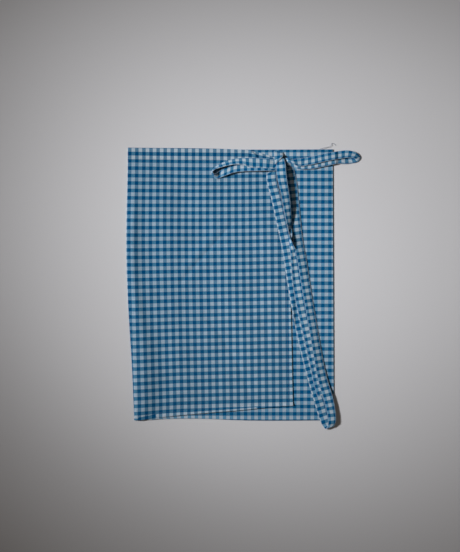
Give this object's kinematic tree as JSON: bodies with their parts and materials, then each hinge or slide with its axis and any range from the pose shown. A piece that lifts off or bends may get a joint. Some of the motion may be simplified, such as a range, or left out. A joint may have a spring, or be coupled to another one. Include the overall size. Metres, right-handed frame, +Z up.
{
  "type": "wrap skirt",
  "caption": "Knee-length checked cotton wrap skirt laid flat, its front wrapped over an under front, with a waistband and strap ties knotted in a bow whose tails hang down the front.",
  "frame": {"origin": "on the underside, at the middle of the laid skirt's body, on the surface that it lies on", "axes": "+X to the right across the skirt as it lies front side up, +Y from the hem towards the waistband, +Z up from the surface"},
  "size_m": [0.5179, 0.6239, 0.024],
  "materials": {
    "cloth": "matte woven cotton in a small blue and white check",
    "waistband": "matte woven cotton in the same check, doubled",
    "tie": "matte woven cotton in the same check, doubled into a flat strap",
    "thread": "matte cotton sewing thread"
  },
  "bodies": {
    "root": {"back_panel": "cloth", "under_front": "cloth", "over_front": "cloth", "waistband_back": "waistband", "waistband_under": "waistband", "waistband_over": "waistband", "tie_loop_left": "tie", "tie_loop_right": "tie", "tie_knot": "tie", "tie_tail_outer": "tie", "tie_tail_doubling": "tie", "tie_tail_return": "tie", "tie_tail_inner": "tie"}
  },
  "joints": []
}
